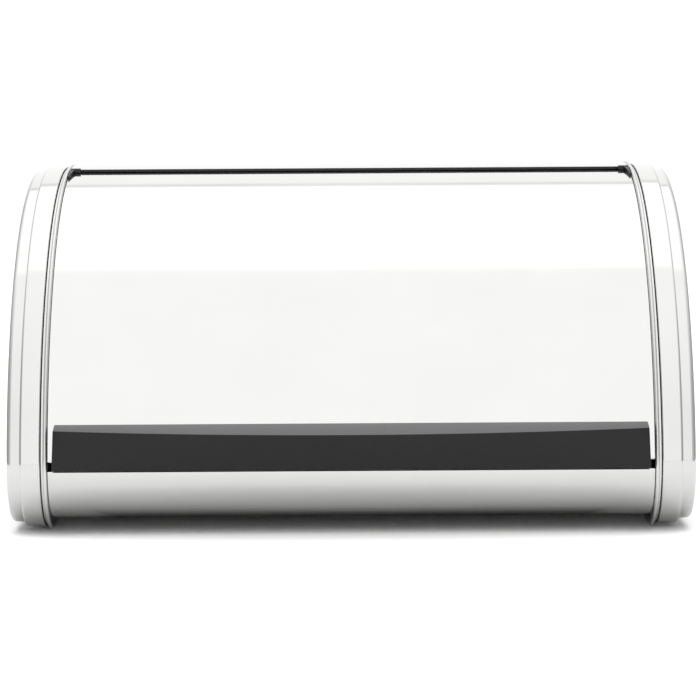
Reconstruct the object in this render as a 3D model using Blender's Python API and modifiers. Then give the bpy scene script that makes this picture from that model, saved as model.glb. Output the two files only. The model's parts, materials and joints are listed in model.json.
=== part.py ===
"""Roll-top bread bin: a polished steel body with a rolling lid on two low side pivots.

Metres, +Z up, the front faces -Y. Every shape is drawn in the side plane of the lid's pivot:
"a" runs from front to back and "u" runs upwards, both measured from the pivot, and an angle is
counted from straight ahead of the pivot, upwards over the top. The origin of the model is on
the ground, in the middle of the bin's width and depth.
"""

import math

import bmesh
import bpy

MM = 0.001

# Outline of the rolled seams, the largest one; every other outline is this one moved inwards.
ROOF_RADIUS = 186.0 * MM
FRONT_CORNER_RADIUS = 38.5 * MM
REAR_TOP_RADIUS = 22.6 * MM
REAR_BOTTOM_RADIUS = 12.6 * MM
BACK = 133.6 * MM
BASE = -17.0 * MM
GROUND = -17.7 * MM

# Widths, each from the middle of the bin to one side.
CAP_OUTER_X = 191.8 * MM
CAP_STEP_X = 184.0 * MM
CAP_INNER_X = 172.7 * MM
BEAD_X = 169.9 * MM
LINER_X = (168.8 * MM, 170.8 * MM)
SHELL_X = 168.4 * MM
LID_X = 168.4 * MM
ARM_X = (164.3 * MM, 166.9 * MM)
SEAL_X = 162.0 * MM

# Sheet metal and seams.
SHEET = 0.5 * MM
GAP = 0.3 * MM
SHELL_INSET = 0.6 * MM
RING_INSET = 1.0 * MM
STEP_INSET = 3.6 * MM
DISH_INSET = 9.5 * MM
BEAD_RADIUS = 1.2 * MM
LINER_INSET = 2.7 * MM
PANEL_RADIUS = 31.6 * MM
PANEL_TOP = 19.6 * MM
SHELL_EDGE = 81.35

# The lid, closed.
LID_RADIUS = 183.7 * MM
LID_FRONT = 7.6
LID_REAR = 84.5
LID_HEM = 6.0 * MM

# The handle strip along the lid's front edge.
HANDLE_TOP = 14.27
HANDLE_BOTTOM = 20.0 * MM
HANDLE_PROUD_MIDDLE = 16.5 * MM
HANDLE_PROUD_END = 9.0 * MM
HANDLE_LEDGE_SLOPE = 16.6
HANDLE_SCREW_ANGLE = 11.0
HANDLE_SCREWS_X = (-135.0 * MM, -45.0 * MM, 45.0 * MM, 135.0 * MM)

# Fastenings and feet.
HUB_RADIUS = 8.8 * MM
PIN_RADIUS = 4.0 * MM
RIVET_HEAD_REACH = 134.0 * MM
RIVETS_X = (-120.0 * MM, 0.0, 120.0 * MM)
RIVET_U = 2.0 * MM
FOOT_RADIUS = 9.0 * MM
FOOT_X = 135.0 * MM
FEET_A = (-96.0 * MM, 88.0 * MM)
VENTS = 8
VENT_PITCH = 14.0 * MM
VENT_U = 84.0 * MM

# Place of the lid's pivot: the ground is at zero, and the depth is shared evenly about zero.
HANDLE_FRONT = 194.6 * MM
PIVOT = (0.0, (HANDLE_FRONT - RIVET_HEAD_REACH) / 2, -GROUND)

FINISHES = {
    "polished_steel": ((0.80, 0.80, 0.81), 0.08, 1.0),
    "galvanised_steel": ((0.62, 0.63, 0.64), 0.38, 1.0),
    "black_plastic": ((0.012, 0.012, 0.013), 0.38, 0.0),
    "grey_plastic": ((0.10, 0.10, 0.105), 0.5, 0.0),
    "nylon": ((0.72, 0.71, 0.67), 0.5, 0.0),
    "rubber": ((0.02, 0.02, 0.02), 0.8, 0.0),
}


# ---------------------------------------------------------------- scene, materials, helpers

def clear_scene():
    for thing in list(bpy.data.objects):
        bpy.data.objects.remove(thing, do_unlink=True)
    for collection in list(bpy.data.collections):
        bpy.data.collections.remove(collection)


def new_collection(name):
    collection = bpy.data.collections.new(name)
    bpy.context.scene.collection.children.link(collection)
    return collection


def make_finish(part_name, finish):
    colour, roughness, metallic = FINISHES[finish]
    material = bpy.data.materials.new(part_name + "_" + finish)
    material.use_nodes = True
    shader = material.node_tree.nodes["Principled BSDF"]
    shader.inputs["Base Color"].default_value = (*colour, 1.0)
    shader.inputs["Roughness"].default_value = roughness
    shader.inputs["Metallic"].default_value = metallic
    material.diffuse_color = (*colour, 1.0)
    return material


def place(thing, finish, parent, sharp=30.0):
    """Put a finished object in the bin's collection, hang it on its empty and colour it."""
    PARTS.objects.link(thing)
    thing.parent = parent
    thing.data.materials.clear()
    thing.data.materials.append(make_finish(thing.name, finish))
    if thing.type == "MESH":
        thing.data.shade_smooth()
        thing.data.set_sharp_from_angle(angle=math.radians(sharp))
    return thing


def as_cutter(thing, parent):
    """Keep an object as a cutting or joining tool, out of the finished model."""
    CUTTERS.objects.link(thing)
    thing.parent = parent
    thing.hide_render = True
    thing.display_type = "WIRE"
    return thing


def object_from(name, bm):
    mesh = bpy.data.meshes.new(name)
    bm.to_mesh(mesh)
    bm.free()
    return bpy.data.objects.new(name, mesh)


def boolean(thing, tool, operation):
    modifier = thing.modifiers.new(operation.title(), "BOOLEAN")
    modifier.object = tool
    modifier.operation = operation
    modifier.solver = "EXACT"


def at_angle(radius, degrees):
    """The point at a radius and an angle from the pivot, as (a, u)."""
    angle = math.radians(degrees)
    return (-radius * math.cos(angle), radius * math.sin(angle))


def arc(centre, radius, start, end, segments):
    """Points along an arc; both end points are included."""
    points = []
    for step in range(segments + 1):
        a, u = at_angle(radius, start + (end - start) * step / segments)
        points.append((centre[0] + a, centre[1] + u))
    return points


def rounded(before, corner, after, radius, segments=3):
    """Points of a small arc that rounds the corner between two straight runs."""
    towards_a = unit(corner, before)
    towards_b = unit(corner, after)
    cosine = towards_a[0] * towards_b[0] + towards_a[1] * towards_b[1]
    half = math.acos(max(-1.0, min(1.0, cosine))) / 2
    reach = radius / math.tan(half)
    start = (corner[0] + towards_a[0] * reach, corner[1] + towards_a[1] * reach)
    end = (corner[0] + towards_b[0] * reach, corner[1] + towards_b[1] * reach)
    middle = unit((0, 0), (towards_a[0] + towards_b[0], towards_a[1] + towards_b[1]))
    depth = radius / math.sin(half)
    centre = (corner[0] + middle[0] * depth, corner[1] + middle[1] * depth)
    points = []
    for step in range(segments + 1):
        share = step / segments
        chord = (start[0] + (end[0] - start[0]) * share, start[1] + (end[1] - start[1]) * share)
        out = unit(centre, chord)
        points.append((centre[0] + out[0] * radius, centre[1] + out[1] * radius))
    return points


def unit(start, end):
    length = math.dist(start, end)
    return ((end[0] - start[0]) / length, (end[1] - start[1]) / length)


# ---------------------------------------------------------------- the bin's outline

def front_corner_centre():
    reach = ROOF_RADIUS - FRONT_CORNER_RADIUS
    height = BASE + FRONT_CORNER_RADIUS
    return (-math.sqrt(reach ** 2 - height ** 2), height)


def rear_top_centre():
    reach = ROOF_RADIUS - REAR_TOP_RADIUS
    back = BACK - REAR_TOP_RADIUS
    return (back, math.sqrt(reach ** 2 - back ** 2))


def rear_bottom_corner(inset):
    centre = (BACK - REAR_BOTTOM_RADIUS, BASE + REAR_BOTTOM_RADIUS)
    return arc(centre, REAR_BOTTOM_RADIUS - inset, 270, 180, 6)


def panel_corner_centre():
    """Centre of the front panel's curve, which is tighter than the outline's front corner."""
    a, u = front_corner_centre()
    return (a - FRONT_CORNER_RADIUS + SHELL_INSET + PANEL_RADIUS, u)


def floor_height():
    return panel_corner_centre()[1] - PANEL_RADIUS


def front_tangent():
    """Angle at which the front corner runs into the roof's circle."""
    a, u = front_corner_centre()
    return math.degrees(math.atan2(u, -a))


def rear_tangent():
    """Angle at which the roof's circle runs into the rear top corner."""
    a, u = rear_top_centre()
    return math.degrees(math.atan2(u, -a))


def roof(inset, start, end, segments):
    return arc((0, 0), ROOF_RADIUS - inset, start, end, segments)


def front_corner(inset, start, end, segments):
    return arc(front_corner_centre(), FRONT_CORNER_RADIUS - inset, start, end, segments)


def back_wall(inset):
    """The two rear corners, from the underside up the back to the roof."""
    upper = arc(rear_top_centre(), REAR_TOP_RADIUS - inset, 180, rear_tangent(), 5)
    return rear_bottom_corner(inset) + upper


def outline(inset):
    """The closed side outline, moved inwards, with the outside on the right of its run."""
    top = roof(inset, rear_tangent(), front_tangent(), 42)
    front = front_corner(inset, front_tangent(), -90, 12)
    return top[:-1] + front + back_wall(inset)[:-1]


# ---------------------------------------------------------------- ways of making a piece

def sheet(name, path, half_width, finish, parent):
    """Bent sheet metal: a path drawn across the width, with the outside on its right."""
    bm = bmesh.new()
    verts = [bm.verts.new((-half_width, a, u)) for a, u in path]
    edges = [bm.edges.new(pair) for pair in zip(verts, verts[1:])]
    made = bmesh.ops.extrude_edge_only(bm, edges=edges)["geom"]
    moved = [item for item in made if isinstance(item, bmesh.types.BMVert)]
    bmesh.ops.translate(bm, verts=moved, vec=(2 * half_width, 0, 0))
    bm.normal_update()
    run = (path[1][0] - path[0][0], path[1][1] - path[0][1])
    normal = verts[0].link_faces[0].normal
    if normal.y * run[1] - normal.z * run[0] < 0:
        bmesh.ops.reverse_faces(bm, faces=bm.faces)
    thing = object_from(name, bm)
    solid = thing.modifiers.new("Thickness", "SOLIDIFY")
    solid.thickness = SHEET
    solid.offset = -1
    solid.use_even_offset = True
    return place(thing, finish, parent)


def flat_curve(name, outlines, x_low, x_high):
    """A flat plate across the width: outlines in the side plane, the first one the rim."""
    curve = bpy.data.curves.new(name, "CURVE")
    curve.dimensions = "2D"
    curve.fill_mode = "BOTH"
    curve.extrude = (x_high - x_low) / 2
    for points in outlines:
        spline = curve.splines.new("POLY")
        spline.points.add(len(points) - 1)
        spline.use_cyclic_u = True
        for point, (a, u) in zip(spline.points, points):
            point.co = (a, u, 0, 1)
    thing = bpy.data.objects.new(name, curve)
    thing.rotation_euler = (math.pi / 2, 0, math.pi / 2)
    thing.location = ((x_low + x_high) / 2, 0, 0)
    return thing


def plate(name, outlines, x_low, x_high, finish, parent):
    return place(flat_curve(name, outlines, x_low, x_high), finish, parent)


def as_mesh(thing):
    """Turn a curve into a welded mesh of the same name and place, ready to cut or join."""
    name = thing.name
    CUTTERS.objects.link(thing)
    bpy.context.view_layer.update()
    evaluated = thing.evaluated_get(bpy.context.evaluated_depsgraph_get())
    mesh = bpy.data.meshes.new_from_object(evaluated)
    bm = bmesh.new()
    bm.from_mesh(mesh)
    bmesh.ops.remove_doubles(bm, verts=bm.verts, dist=0.00001)
    bm.to_mesh(mesh)
    bm.free()
    solid = bpy.data.objects.new(name + "_solid", mesh)
    solid.matrix_world = thing.matrix_world
    bpy.data.objects.remove(thing, do_unlink=True)
    solid.name = name
    return solid


def loft(name, loops):
    """A solid through closed loops of points, with a flat face over each end."""
    bm = bmesh.new()
    rings = [[bm.verts.new(point) for point in loop] for loop in loops]
    skin_rings(bm, rings)
    bm.faces.new(rings[0])
    bm.faces.new(rings[-1])
    bmesh.ops.recalc_face_normals(bm, faces=bm.faces)
    return object_from(name, bm)


def skin_rings(bm, rings):
    for ring, other in zip(rings, rings[1:]):
        for index, vert in enumerate(ring):
            following = (index + 1) % len(ring)
            bm.faces.new((vert, ring[following], other[following], other[index]))


def turned(name, profile, closed=False, steps=24):
    """A turned piece about local Z: (radius, height) points down the outer side."""
    bm = bmesh.new()
    verts = [bm.verts.new((radius, 0, height)) for radius, height in profile]
    for pair in zip(verts, verts[1:]):
        bm.edges.new(pair)
    if closed:
        bm.edges.new((verts[-1], verts[0]))
    thing = object_from(name, bm)
    screw = thing.modifiers.new("Turn", "SCREW")
    screw.steps = steps
    screw.render_steps = steps
    screw.use_merge_vertices = True
    screw.merge_threshold = 0.00001
    return thing


def drill_tool(name, radius, length, places, rotation, parent):
    """One cutting tool made of equal round bars, one at each place."""
    bm = bmesh.new()
    for location in places:
        made = bmesh.ops.create_cone(bm, cap_ends=True, segments=12, radius1=radius,
                                     radius2=radius, depth=length)
        bmesh.ops.rotate(bm, verts=made["verts"], cent=(0, 0, 0), matrix=rotation)
        bmesh.ops.translate(bm, verts=made["verts"], vec=location)
    return as_cutter(object_from(name, bm), parent)


def turn_about_x(degrees):
    from_x = bpy.data.objects.new("turn", None)
    from_x.rotation_euler = (math.radians(degrees), 0, 0)
    matrix = from_x.rotation_euler.to_matrix()
    bpy.data.objects.remove(from_x)
    return matrix


def side_name(name, side):
    return name + ("_left" if side < 0 else "_right")


def across(side, near, far):
    """Low and high x of a piece between two distances from the middle, on one side."""
    return tuple(sorted((side * near, side * far)))


# ---------------------------------------------------------------- fixed body

def make_rear_shell():
    """One bent sheet: a flange under the bin, the back, and the top as far as the lid."""
    flange = [(BACK - REAR_BOTTOM_RADIUS - 12.0 * MM, BASE + SHELL_INSET)]
    top = roof(SHELL_INSET, rear_tangent(), SHELL_EDGE, 18)
    shell = sheet("rear_shell", flange + back_wall(SHELL_INSET) + top[1:], SHELL_X,
                  "polished_steel", BODY)
    middle = (VENTS - 1) / 2
    places = [((index - middle) * VENT_PITCH, BACK, VENT_U) for index in range(VENTS)]
    vents = drill_tool("vent_drill", 2.5 * MM, 8.0 * MM, places, turn_about_x(90), BODY)
    boolean(shell, vents, "DIFFERENCE")
    boolean(shell, RIVET_DRILL, "DIFFERENCE")


def make_base_tray():
    """The lower front panel, the raised floor, and an upstand inside the back."""
    lip = -172.5 * MM
    front = arc(panel_corner_centre(), PANEL_RADIUS, -3, -90, 12)
    top = (front[0][0], PANEL_TOP)
    start = (lip, PANEL_TOP - 5.5 * MM)
    path = [start] + rounded(start, (lip, PANEL_TOP), top, 0.8 * MM)
    path += rounded((lip, PANEL_TOP), top, front[1], 0.8 * MM) + front[1:]
    rear = BACK - SHELL_INSET - SHEET - 0.4 * MM
    corner = 8.0 * MM
    path += arc((rear - corner, floor_height() + corner), corner, 270, 180, 5)
    path.append((rear, 8.0 * MM))
    tray = sheet("base_tray", path, SHELL_X, "polished_steel", BODY)
    boolean(tray, RIVET_DRILL, "DIFFERENCE")


def make_end_cap(side):
    """A pressed end: a flange by the seam, a wide ring, a lower ring and a dished face."""
    rows = [
        (RING_INSET + 7.0 * MM, CAP_INNER_X),
        (RING_INSET + 0.7 * MM, CAP_INNER_X),
        (RING_INSET, CAP_INNER_X + 0.7 * MM),
        (RING_INSET, CAP_STEP_X - 0.8 * MM),
        (RING_INSET + 0.7 * MM, CAP_STEP_X),
        (STEP_INSET - 0.5 * MM, CAP_STEP_X),
        (STEP_INSET, CAP_STEP_X + 0.6 * MM),
        (STEP_INSET, CAP_OUTER_X - 2.8 * MM),
        (STEP_INSET + 0.8 * MM, CAP_OUTER_X - 0.8 * MM),
        (STEP_INSET + 2.8 * MM, CAP_OUTER_X),
        (DISH_INSET, CAP_OUTER_X),
        (DISH_INSET + 2.0 * MM, CAP_OUTER_X - 1.6 * MM),
    ]
    bm = bmesh.new()
    rings = []
    for inset, distance in rows:
        rings.append([bm.verts.new((side * distance, a, u)) for a, u in outline(inset)])
    skin_rings(bm, rings)
    bm.faces.new(rings[-1])
    bmesh.ops.recalc_face_normals(bm, faces=bm.faces)
    bm.faces.ensure_lookup_table()
    if bm.faces[-1].normal.x * side < 0:
        bmesh.ops.reverse_faces(bm, faces=bm.faces)
    cap = object_from(side_name("end_cap", side), bm)
    solid = cap.modifiers.new("Thickness", "SOLIDIFY")
    solid.thickness = SHEET
    solid.offset = -1
    solid.use_even_offset = True
    place(cap, "polished_steel", BODY)


def make_rim_bead(side):
    """The rolled seam: a round bead along the whole outline."""
    curve = bpy.data.curves.new(side_name("rim_bead", side), "CURVE")
    curve.dimensions = "3D"
    curve.bevel_depth = BEAD_RADIUS
    curve.bevel_resolution = 2
    spline = curve.splines.new("POLY")
    points = outline(BEAD_RADIUS)
    spline.points.add(len(points) - 1)
    spline.use_cyclic_u = True
    for point, (a, u) in zip(spline.points, points):
        point.co = (side * BEAD_X, a, u, 1)
    place(bpy.data.objects.new(curve.name, curve), "polished_steel", BODY)


def make_side_liner(side):
    """The inner end wall, inside the seam, with the hole for the lid's pivot pin."""
    hole = arc((0, 0), PIN_RADIUS + GAP, 0, 345, 23)
    low, high = across(side, *LINER_X)
    plate(side_name("side_liner", side), [outline(LINER_INSET), hole], low, high,
          "galvanised_steel", BODY)


def seal_section(front_angle, height):
    """An edging with a leg tucked under the shell and a face in front of its edge."""
    inner = LID_RADIUS + GAP
    under = ROOF_RADIUS - SHELL_INSET - SHEET - GAP
    step = SHELL_EDGE - 0.1
    return [at_angle(inner, front_angle), at_angle(height, front_angle), at_angle(height, step),
            at_angle(under, step), at_angle(under, 84.0), at_angle(inner, 84.0)]


def make_edge_seal():
    plate("edge_seal", [seal_section(80.9, ROOF_RADIUS - 0.5 * MM)], -SEAL_X, SEAL_X,
          "black_plastic", BODY)


def make_seal_end(side):
    """The edging's end piece, with a tail that narrows between the lid and the seam."""
    low, high = across(side, SEAL_X + GAP, SHELL_X)
    section = seal_section(80.5, ROOF_RADIUS + 0.2 * MM)
    block = as_mesh(flat_curve(side_name("seal_end", side), [section], low, high))
    loops = []
    for angle, near, height in ((80.8, 165.4, 186.0), (78.2, 166.8, 185.8), (75.6, 167.8, 185.4)):
        inner = at_angle(LID_RADIUS + GAP, angle)
        outer = at_angle(height * MM, angle)
        corners = ((near * MM, inner), (SHELL_X, inner), (SHELL_X, outer), (near * MM, outer))
        loops.append([(side * x, a, u) for x, (a, u) in corners])
    tail = as_cutter(loft(side_name("seal_tail", side), loops), BODY)
    boolean(block, tail, "UNION")
    place(block, "black_plastic", BODY)


def make_pivot(side):
    """The pin that the lid's arm turns on, and the washer between arm and liner."""
    start = ARM_X[0] - GAP
    head = [(0, start - 2.0 * MM), (5.5 * MM, start - 2.0 * MM), (7.0 * MM, start - 0.9 * MM),
            (7.0 * MM, start), (PIN_RADIUS, start), (PIN_RADIUS, LINER_X[1] + 0.5 * MM),
            (0, LINER_X[1] + 0.5 * MM)]
    pin = turned(side_name("pivot_pin", side), head[::-1], steps=32)
    washer_low = ARM_X[1] + GAP
    washer_high = LINER_X[0] - GAP
    inner = PIN_RADIUS + GAP
    ring = [(inner, washer_high), (8.4 * MM, washer_high), (8.4 * MM, washer_low),
            (inner, washer_low)]
    washer = turned(side_name("pivot_washer", side), ring, closed=True, steps=32)
    for thing, finish in ((pin, "galvanised_steel"), (washer, "nylon")):
        thing.rotation_euler = (0, side * math.pi / 2, 0)
        place(thing, finish, BODY)


def make_lid_buffer(side):
    """A thin rubber pad on the front panel's folded edge, where the closed lid rests."""
    low, high = across(side, 140.0 * MM, 156.0 * MM)
    bottom = PANEL_TOP + GAP
    top = at_angle(LID_RADIUS - LID_HEM, LID_FRONT)[1] - GAP
    pad = [(-181.6 * MM, bottom), (-181.6 * MM, top), (-176.0 * MM, top), (-176.0 * MM, bottom)]
    plate(side_name("lid_buffer", side), [pad], low, high, "rubber", BODY)


def make_open_stop(side):
    """A rubber wedge on the inside of the back that the lid's rear edge meets when open."""
    low, high = across(side, 138.0 * MM, 156.0 * MM)
    wall = BACK - SHELL_INSET - SHEET - 0.4 * MM
    wedge = [(wall, 112.0 * MM), (wall, 122.0 * MM), (128.6 * MM, 128.6 * MM),
             (127.0 * MM, 128.65 * MM), (122.5 * MM, 124.15 * MM), (122.5 * MM, 117.0 * MM),
             (127.0 * MM, 112.0 * MM)]
    plate(side_name("open_stop", side), [wedge], low, high, "rubber", BODY)


def make_rivet(index):
    """A blind rivet through the back and the tray's upstand."""
    head_low = BACK - SHELL_INSET + GAP
    inside = BACK - SHELL_INSET - 2 * SHEET - 0.4 * MM - GAP
    profile = [(0, RIVET_HEAD_REACH), (2.4 * MM, RIVET_HEAD_REACH), (3.1 * MM, head_low),
               (1.5 * MM, head_low), (1.5 * MM, inside), (2.3 * MM, inside - 0.4 * MM),
               (1.9 * MM, inside - 1.8 * MM), (0, inside - 1.8 * MM)]
    rivet = turned("back_rivet_%d" % (index + 1), profile, steps=16)
    rivet.rotation_euler = (-math.pi / 2, 0, 0)
    rivet.location = (RIVETS_X[index], 0, RIVET_U)
    place(rivet, "galvanised_steel", BODY)


def make_foot(name, x, a):
    """A round rubber foot under the floor, a little wider at its top."""
    top = floor_height() - GAP
    profile = [(0, top), (FOOT_RADIUS + 1.5 * MM, top), (FOOT_RADIUS + 1.5 * MM, top - 1.5 * MM),
               (FOOT_RADIUS, top - 2.3 * MM), (FOOT_RADIUS, GROUND + 0.8 * MM),
               (FOOT_RADIUS - 0.8 * MM, GROUND), (0, GROUND)]
    foot = turned(name, profile)
    foot.location = (x, a, 0)
    place(foot, "rubber", BODY)


# ---------------------------------------------------------------- rolling lid

def make_lid_sheet():
    """The curved lid, folded inwards along its front and rear edges."""
    inner = LID_RADIUS - LID_HEM
    rear = (at_angle(inner, LID_REAR), at_angle(LID_RADIUS, LID_REAR))
    front = (at_angle(LID_RADIUS, LID_FRONT), at_angle(inner, LID_FRONT))
    path = [rear[0]] + rounded(rear[0], rear[1], at_angle(LID_RADIUS, LID_REAR - 1), 1.2 * MM)
    path += arc((0, 0), LID_RADIUS, LID_REAR - 1, LID_FRONT + 1, 26)
    path += rounded(at_angle(LID_RADIUS, LID_FRONT + 1), front[0], front[1], 1.2 * MM)
    path.append(front[1])
    lid = sheet("lid_sheet", path, LID_X, "polished_steel", LID)
    boolean(lid, SCREW_DRILL, "DIFFERENCE")


def make_lid_arm(side):
    """The lid's side wall: a sector plate that runs down to the pivot's hub."""
    rim = LID_RADIUS - SHEET - GAP
    low_edge = LID_FRONT + 0.7
    high_edge = LID_REAR - 0.7
    hub = arc((0, 0), HUB_RADIUS, high_edge + 90, low_edge + 270, 10)
    sector = arc((0, 0), rim, low_edge, high_edge, 26) + hub
    hole = arc((0, 0), PIN_RADIUS + 0.08 * MM, 0, 360 - 360 / 32, 31)
    low, high = across(side, *ARM_X)
    plate(side_name("lid_arm", side), [sector, hole], low, high, "grey_plastic", LID)


def handle_section(share):
    """Outline of the handle at a share of its half length, each corner with its own reach."""
    proud = HANDLE_PROUD_END + (HANDLE_PROUD_MIDDLE - HANDLE_PROUD_END) * (1 - share ** 2)
    back = LID_RADIUS + GAP
    top_a, top_u = at_angle(back, HANDLE_TOP)
    drop = proud * math.tan(math.radians(HANDLE_LEDGE_SLOPE))
    bottom_a, bottom_u = at_angle(back, LID_FRONT + 0.2)
    corners = [
        (165.8 * MM, bottom_a, bottom_u),
        (165.8 * MM, -184.4 * MM, bottom_u),
        (166.0 * MM, -184.5 * MM, HANDLE_BOTTOM),
        (166.0 * MM, -187.0 * MM, HANDLE_BOTTOM),
        (164.9 * MM, top_a - proud, top_u - drop),
        (164.9 * MM, top_a, top_u),
        (165.3 * MM, *at_angle(back, HANDLE_SCREW_ANGLE)),
    ]
    return [(share * reach, a, u) for reach, a, u in corners]


def make_lid_handle():
    """The moulded strip along the lid's front edge, bowed forward along its ledge."""
    stations = 12
    loops = [handle_section(-1 + 2 * index / stations) for index in range(stations + 1)]
    handle = loft("lid_handle", loops)
    edges = handle.modifiers.new("Edges", "BEVEL")
    edges.width = 0.6 * MM
    edges.segments = 1
    edges.limit_method = "ANGLE"
    edges.angle_limit = math.radians(35)
    boolean(handle, SCREW_DRILL, "DIFFERENCE")
    place(handle, "black_plastic", LID)


def make_handle_backing():
    """A stiffening strip inside the lid that the handle's screws pull against."""
    outer = LID_RADIUS - SHEET - GAP
    inner = outer - 2.2 * MM
    section = arc((0, 0), outer, 13.6, 8.4, 2) + arc((0, 0), inner, 8.4, 13.6, 2)
    strip = as_mesh(flat_curve("handle_backing", [section], -150.0 * MM, 150.0 * MM))
    boolean(strip, SCREW_DRILL, "DIFFERENCE")
    place(strip, "grey_plastic", LID)


def make_handle_screw(index):
    """A pan-headed screw from inside the lid into the handle."""
    seat = LID_RADIUS - SHEET - GAP - 2.2 * MM - GAP
    tip = LID_RADIUS + 5.4 * MM
    profile = [(0, tip), (0.9 * MM, tip), (1.5 * MM, tip - 1.0 * MM), (1.5 * MM, seat),
               (3.0 * MM, seat), (2.6 * MM, seat - 1.5 * MM), (0, seat - 1.9 * MM)]
    screw = turned("handle_screw_%d" % (index + 1), profile, steps=16)
    screw.rotation_euler = (math.radians(90 - HANDLE_SCREW_ANGLE), 0, 0)
    screw.location = (HANDLE_SCREWS_X[index], 0, 0)
    place(screw, "galvanised_steel", LID)


# ---------------------------------------------------------------- the whole bin

def make_empty(name):
    empty = bpy.data.objects.new(name, None)
    empty.location = PIVOT
    empty.empty_display_size = 0.03
    PARTS.objects.link(empty)
    return empty


def make_rivet_drill():
    places = [(x, BACK - 1.0 * MM, RIVET_U) for x in RIVETS_X]
    return drill_tool("rivet_drill", 1.8 * MM, 10.0 * MM, places, turn_about_x(90), BODY)


def make_screw_drill():
    """Bars along the handle screws, reaching a little further than each screw's tip."""
    length = 16.0 * MM
    a, u = at_angle(LID_RADIUS + 6.0 * MM - length / 2, HANDLE_SCREW_ANGLE)
    places = [(x, a, u) for x in HANDLE_SCREWS_X]
    turn = turn_about_x(90 - HANDLE_SCREW_ANGLE)
    return drill_tool("screw_drill", 1.8 * MM, length, places, turn, LID)


clear_scene()
PARTS = new_collection("bread_bin")
CUTTERS = new_collection("cutters")
BODY = make_empty("body_frame")
LID = make_empty("lid_hinge_axis")
RIVET_DRILL = make_rivet_drill()
SCREW_DRILL = make_screw_drill()

make_rear_shell()
make_base_tray()
make_edge_seal()
for side in (-1, 1):
    make_end_cap(side)
    make_rim_bead(side)
    make_side_liner(side)
    make_seal_end(side)
    make_pivot(side)
    make_lid_buffer(side)
    make_open_stop(side)
    make_lid_arm(side)
    for label, foot_a in zip(("front", "rear"), FEET_A):
        make_foot(side_name("foot_" + label, side), side * FOOT_X, foot_a)
for number in range(len(RIVETS_X)):
    make_rivet(number)
make_lid_sheet()
make_lid_handle()
make_handle_backing()
for number in range(len(HANDLE_SCREWS_X)):
    make_handle_screw(number)
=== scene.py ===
import json
import math

import bmesh
import bpy
from mathutils import Matrix, Vector


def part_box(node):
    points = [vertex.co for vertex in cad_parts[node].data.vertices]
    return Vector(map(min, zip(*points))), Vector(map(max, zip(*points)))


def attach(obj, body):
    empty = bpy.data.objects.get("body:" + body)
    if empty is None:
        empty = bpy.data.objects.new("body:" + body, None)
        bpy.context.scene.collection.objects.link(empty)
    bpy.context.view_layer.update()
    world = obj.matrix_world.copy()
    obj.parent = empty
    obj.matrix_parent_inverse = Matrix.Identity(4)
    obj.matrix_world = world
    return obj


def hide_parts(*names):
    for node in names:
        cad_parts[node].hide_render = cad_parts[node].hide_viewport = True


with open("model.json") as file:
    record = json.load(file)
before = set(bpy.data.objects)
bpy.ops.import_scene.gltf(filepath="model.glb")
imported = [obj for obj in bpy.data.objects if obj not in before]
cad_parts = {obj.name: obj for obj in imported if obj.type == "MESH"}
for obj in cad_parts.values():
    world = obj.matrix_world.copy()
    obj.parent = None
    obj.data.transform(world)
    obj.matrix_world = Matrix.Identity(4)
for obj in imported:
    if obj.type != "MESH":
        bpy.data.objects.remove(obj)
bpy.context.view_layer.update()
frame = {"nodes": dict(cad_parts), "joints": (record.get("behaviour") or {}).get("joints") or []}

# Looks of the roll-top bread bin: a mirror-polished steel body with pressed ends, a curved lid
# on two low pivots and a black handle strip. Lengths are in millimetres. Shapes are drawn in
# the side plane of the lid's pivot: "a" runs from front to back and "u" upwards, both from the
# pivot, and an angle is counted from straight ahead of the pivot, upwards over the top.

MM = 0.001
PIVOT = Vector(frame["joints"][0]["pos_m"])

# Outline of the rolled seams: a round front and top about the pivot, a flat back and base.
ROOF = 186.0
BACK = 133.6
BASE = -17.0
FRONT_CORNER_RADIUS = 38.5
REAR_TOP_RADIUS = 22.6
REAR_BOTTOM_RADIUS = 12.6

# Centres of its corners, and the angles at which the round part runs into them.
FRONT_CORNER = (-math.sqrt((ROOF - FRONT_CORNER_RADIUS) ** 2 - (BASE + FRONT_CORNER_RADIUS) ** 2),
                BASE + FRONT_CORNER_RADIUS)
REAR_TOP = (BACK - REAR_TOP_RADIUS,
            math.sqrt((ROOF - REAR_TOP_RADIUS) ** 2 - (BACK - REAR_TOP_RADIUS) ** 2))
REAR_BOTTOM = (BACK - REAR_BOTTOM_RADIUS, BASE + REAR_BOTTOM_RADIUS)
FRONT_TANGENT = math.degrees(math.atan2(FRONT_CORNER[1], -FRONT_CORNER[0]))
REAR_TANGENT = 180 - math.degrees(math.atan2(REAR_TOP[1], REAR_TOP[0]))

# Distances from the middle of the bin to each side.
CAP_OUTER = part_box("end_cap_right")[1].x / MM
CAP_STEP = 184.0
CAP_INNER = 172.7
BEAD = 169.9
LAP = (170.5, 172.2)
SHELL = 168.4
LID = 168.4
ARM = (164.3, 166.9)
SEAL = 162.0

# Sheet metal, seams and edging.
SHEET = 0.5
GAP = 0.3
SHELL_INSET = 0.6
RING_INSET = 1.0
STEP_INSET = 3.6
BEAD_RADIUS = 1.2
LAP_INSET = 2.25
LAP_SHEET = 0.35
PANEL_RADIUS = 31.6
PANEL_CORNER = (FRONT_CORNER[0] - FRONT_CORNER_RADIUS + SHELL_INSET + PANEL_RADIUS,
                FRONT_CORNER[1])
FLOOR = PANEL_CORNER[1] - PANEL_RADIUS
PANEL_TOP = 19.6
SHELL_EDGE = 81.35
SEAL_FRONT = 80.9
SEAL_END_FRONT = 80.5
SEAL_REAR = 84.0

# Widths of the rows that keep a band straight beside its edges, and of a weld.
EDGE_ROW = 0.15
WELD = 0.005
WIDE_WELD = 0.01

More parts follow.
